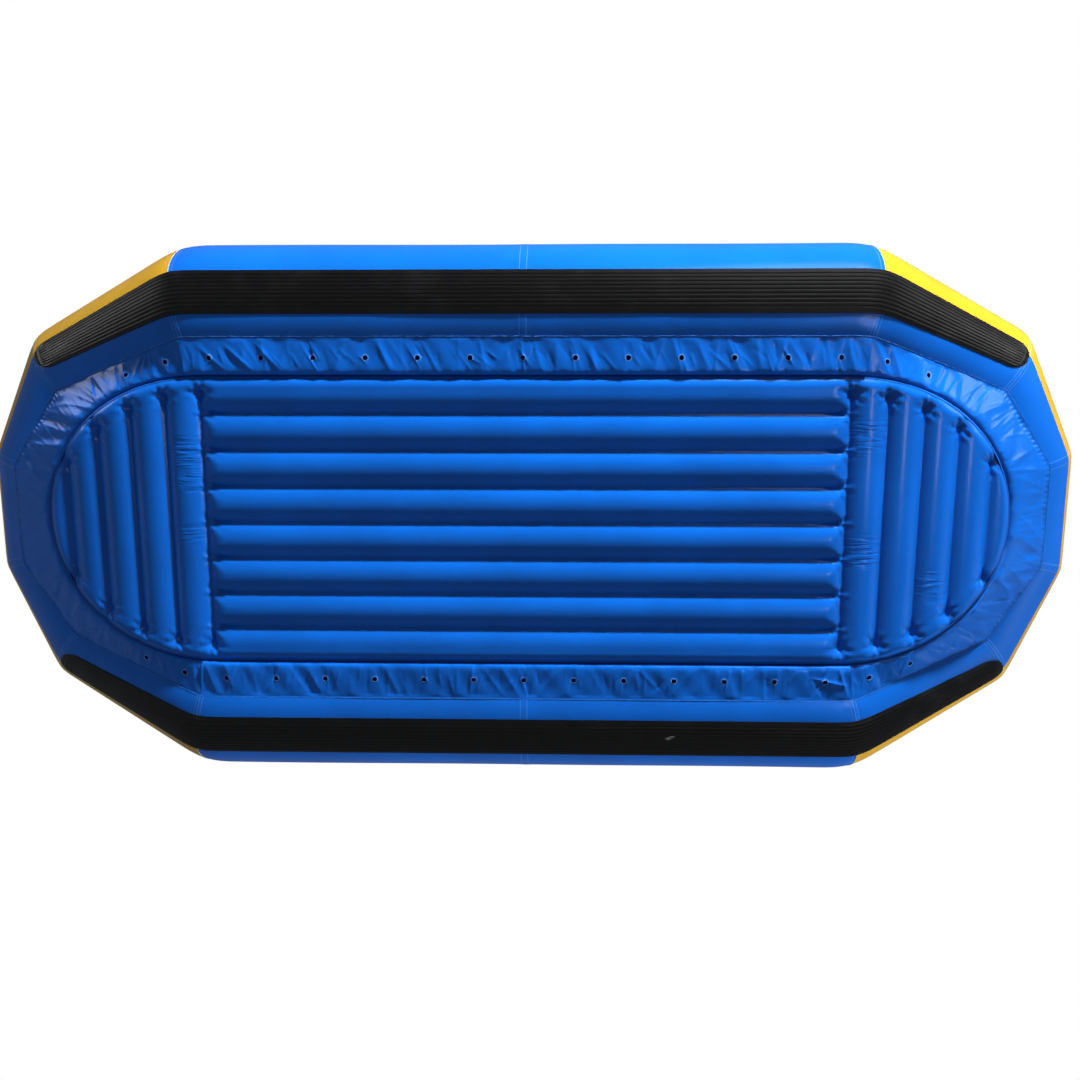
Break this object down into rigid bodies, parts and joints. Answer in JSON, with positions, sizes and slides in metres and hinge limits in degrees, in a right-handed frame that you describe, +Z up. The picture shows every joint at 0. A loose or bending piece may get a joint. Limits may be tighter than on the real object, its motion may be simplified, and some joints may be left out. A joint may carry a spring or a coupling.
{
  "type": "inflatable fishing raft",
  "caption": "Self-bailing inflatable raft: ring of air tubes rising at both ends, I-beam floor joined by a drained apron, thwarts, wear strips, valves and D-rings.",
  "frame": {"origin": "on the ground under the middle of the hull, at the bottom centre of its bounding box", "axes": "+X towards the bow, +Y to port, +Z up"},
  "size_m": [4.5172, 2.1, 0.7826],
  "materials": {
    "blue_coated_fabric": "glossy PVC-coated fabric",
    "yellow_coated_fabric": "glossy PVC-coated fabric",
    "blue_inner_fabric": "satin",
    "black_ribbed_rubber": "satin, ribbed",
    "black_webbing": "woven",
    "black_valve_plastic": "satin",
    "grey_poppet_plastic": "satin",
    "stainless_steel": "polished"
  },
  "bodies": {
    "hull": {"bow_apron": "blue_coated_fabric", "bow_carry_handle": "black_webbing", "bow_diaphragm": "blue_inner_fabric", "bow_nose_lower_panel": "blue_coated_fabric", "bow_nose_upper_panel": "yellow_coated_fabric", "bow_port_quarter_lower_panel": "blue_coated_fabric", "bow_port_quarter_upper_panel": "yellow_coated_fabric", "bow_port_valve_body": "black_valve_plastic", "bow_starboard_quarter_lower_panel": "blue_coated_fabric", "bow_starboard_quarter_upper_panel": "yellow_coated_fabric", "bow_starboard_valve_body": "black_valve_plastic", "bow_thwart": "blue_coated_fabric", "bow_thwart_valve_body": "black_valve_plastic", "floor_lower_skin": "blue_coated_fabric", "floor_relief_valve": "black_valve_plastic", "floor_upper_skin": "blue_coated_fabric", "floor_valve_body": "black_valve_plastic", "port_apron": "blue_coated_fabric", "port_diaphragm": "blue_inner_fabric", "port_side_tube": "blue_coated_fabric", "port_wear_strip": "black_ribbed_rubber", "starboard_apron": "blue_coated_fabric", "starboard_diaphragm": "blue_inner_fabric", "starboard_side_tube": "blue_coated_fabric", "starboard_wear_strip": "black_ribbed_rubber", "stern_apron": "blue_coated_fabric", "stern_carry_handle": "black_webbing", "stern_diaphragm": "blue_inner_fabric", "stern_nose_lower_panel": "blue_coated_fabric", "stern_nose_upper_panel": "yellow_coated_fabric", "stern_port_quarter_lower_panel": "blue_coated_fabric", "stern_port_quarter_upper_panel": "yellow_coated_fabric", "stern_port_valve_body": "black_valve_plastic", "stern_starboard_quarter_lower_panel": "blue_coated_fabric", "stern_starboard_quarter_upper_panel": "yellow_coated_fabric", "stern_starboard_valve_body": "black_valve_plastic", "stern_thwart": "blue_coated_fabric", "stern_thwart_valve_body": "black_valve_plastic"},
    "aft_port_d_ring": {"aft_port_d_ring": "stainless_steel"},
    "aft_starboard_d_ring": {"aft_starboard_d_ring": "stainless_steel"},
    "forward_port_d_ring": {"forward_port_d_ring": "stainless_steel"},
    "forward_starboard_d_ring": {"forward_starboard_d_ring": "stainless_steel"},
    "middle_port_d_ring": {"middle_port_d_ring": "stainless_steel"},
    "middle_starboard_d_ring": {"middle_starboard_d_ring": "stainless_steel"},
    "bow_port_valve_poppet": {"bow_port_valve_poppet": "grey_poppet_plastic"},
    "bow_starboard_valve_poppet": {"bow_starboard_valve_poppet": "grey_poppet_plastic"},
    "bow_thwart_valve_poppet": {"bow_thwart_valve_poppet": "grey_poppet_plastic"},
    "floor_valve_poppet": {"floor_valve_poppet": "grey_poppet_plastic"},
    "stern_port_valve_poppet": {"stern_port_valve_poppet": "grey_poppet_plastic"},
    "stern_starboard_valve_poppet": {"stern_starboard_valve_poppet": "grey_poppet_plastic"},
    "stern_thwart_valve_poppet": {"stern_thwart_valve_poppet": "grey_poppet_plastic"},
    "bow_port_valve_cap": {"bow_port_valve_cap": "black_valve_plastic"},
    "bow_starboard_valve_cap": {"bow_starboard_valve_cap": "black_valve_plastic"},
    "bow_thwart_valve_cap": {"bow_thwart_valve_cap": "black_valve_plastic"},
    "floor_valve_cap": {"floor_valve_cap": "black_valve_plastic"},
    "stern_port_valve_cap": {"stern_port_valve_cap": "black_valve_plastic"},
    "stern_starboard_valve_cap": {"stern_starboard_valve_cap": "black_valve_plastic"},
    "stern_thwart_valve_cap": {"stern_thwart_valve_cap": "black_valve_plastic"}
  },
  "joints": [
    {"name": "aft_port_d_ring_swing", "type": "hinge", "parent": "hull", "child": "aft_port_d_ring", "pos_m": [-0.93, 0.98993, 0.46794], "axis": [1, 0, 0], "range_deg": [0, 190]},
    {"name": "aft_starboard_d_ring_swing", "type": "hinge", "parent": "hull", "child": "aft_starboard_d_ring", "pos_m": [-0.93, -0.98993, 0.46794], "axis": [-1, 0, 0], "range_deg": [0, 190]},
    {"name": "forward_port_d_ring_swing", "type": "hinge", "parent": "hull", "child": "forward_port_d_ring", "pos_m": [0.93, 0.98993, 0.46794], "axis": [1, 0, 0], "range_deg": [0, 190]},
    {"name": "forward_starboard_d_ring_swing", "type": "hinge", "parent": "hull", "child": "forward_starboard_d_ring", "pos_m": [0.93, -0.98993, 0.46794], "axis": [-1, 0, 0], "range_deg": [0, 190]},
    {"name": "middle_port_d_ring_swing", "type": "hinge", "parent": "hull", "child": "middle_port_d_ring", "pos_m": [0, 0.98993, 0.46794], "axis": [1, 0, 0], "range_deg": [0, 190]},
    {"name": "middle_starboard_d_ring_swing", "type": "hinge", "parent": "hull", "child": "middle_starboard_d_ring", "pos_m": [0, -0.98993, 0.46794], "axis": [-1, 0, 0], "range_deg": [0, 190]},
    {"name": "bow_port_valve_poppet_press", "type": "slide", "parent": "hull", "child": "bow_port_valve_poppet", "axis": [0, 0.766, -0.6428], "range_m": [0, 0.007], "stiffness_N_per_m": 400, "springref_m": -0.004},
    {"name": "bow_starboard_valve_poppet_press", "type": "slide", "parent": "hull", "child": "bow_starboard_valve_poppet", "axis": [0, -0.766, -0.6428], "range_m": [0, 0.007], "stiffness_N_per_m": 400, "springref_m": -0.004},
    {"name": "bow_thwart_valve_poppet_press", "type": "slide", "parent": "hull", "child": "bow_thwart_valve_poppet", "axis": [0.7071, 0, -0.7071], "range_m": [0, 0.007], "stiffness_N_per_m": 400, "springref_m": -0.004},
    {"name": "floor_valve_poppet_press", "type": "slide", "parent": "hull", "child": "floor_valve_poppet", "axis": [0, 0, -1], "range_m": [0, 0.007], "stiffness_N_per_m": 400, "springref_m": -0.004},
    {"name": "stern_port_valve_poppet_press", "type": "slide", "parent": "hull", "child": "stern_port_valve_poppet", "axis": [0, 0.766, -0.6428], "range_m": [0, 0.007], "stiffness_N_per_m": 400, "springref_m": -0.004},
    {"name": "stern_starboard_valve_poppet_press", "type": "slide", "parent": "hull", "child": "stern_starboard_valve_poppet", "axis": [0, -0.766, -0.6428], "range_m": [0, 0.007], "stiffness_N_per_m": 400, "springref_m": -0.004},
    {"name": "stern_thwart_valve_poppet_press", "type": "slide", "parent": "hull", "child": "stern_thwart_valve_poppet", "axis": [-0.7071, 0, -0.7071], "range_m": [0, 0.007], "stiffness_N_per_m": 400, "springref_m": -0.004},
    {"name": "bow_port_valve_cap_turn", "type": "hinge", "parent": "hull", "child": "bow_port_valve_cap", "pos_m": [0.95, 0.55551, 0.46338], "axis": [0, -0.766, 0.6428], "range_deg": [0, 90]},
    {"name": "bow_starboard_valve_cap_turn", "type": "hinge", "parent": "hull", "child": "bow_starboard_valve_cap", "pos_m": [0.95, -0.55551, 0.46338], "axis": [0, 0.766, 0.6428], "range_deg": [0, 90]},
    {"name": "bow_thwart_valve_cap_turn", "type": "hinge", "parent": "hull", "child": "bow_thwart_valve_cap", "pos_m": [0.48565, 0.3, 0.48635], "axis": [-0.7071, 0, 0.7071], "range_deg": [0, 90]},
    {"name": "floor_valve_cap_turn", "type": "hinge", "parent": "hull", "child": "floor_valve_cap", "pos_m": [1.02, 0.06875, 0.122], "axis": [0, 0, 1], "range_deg": [0, 90]},
    {"name": "stern_port_valve_cap_turn", "type": "hinge", "parent": "hull", "child": "stern_port_valve_cap", "pos_m": [-0.95, 0.55551, 0.46338], "axis": [0, -0.766, 0.6428], "range_deg": [0, 90]},
    {"name": "stern_starboard_valve_cap_turn", "type": "hinge", "parent": "hull", "child": "stern_starboard_valve_cap", "pos_m": [-0.95, -0.55551, 0.46338], "axis": [0, 0.766, 0.6428], "range_deg": [0, 90]},
    {"name": "stern_thwart_valve_cap_turn", "type": "hinge", "parent": "hull", "child": "stern_thwart_valve_cap", "pos_m": [-0.48565, 0.3, 0.48635], "axis": [0.7071, 0, 0.7071], "range_deg": [0, 90]}
  ]
}
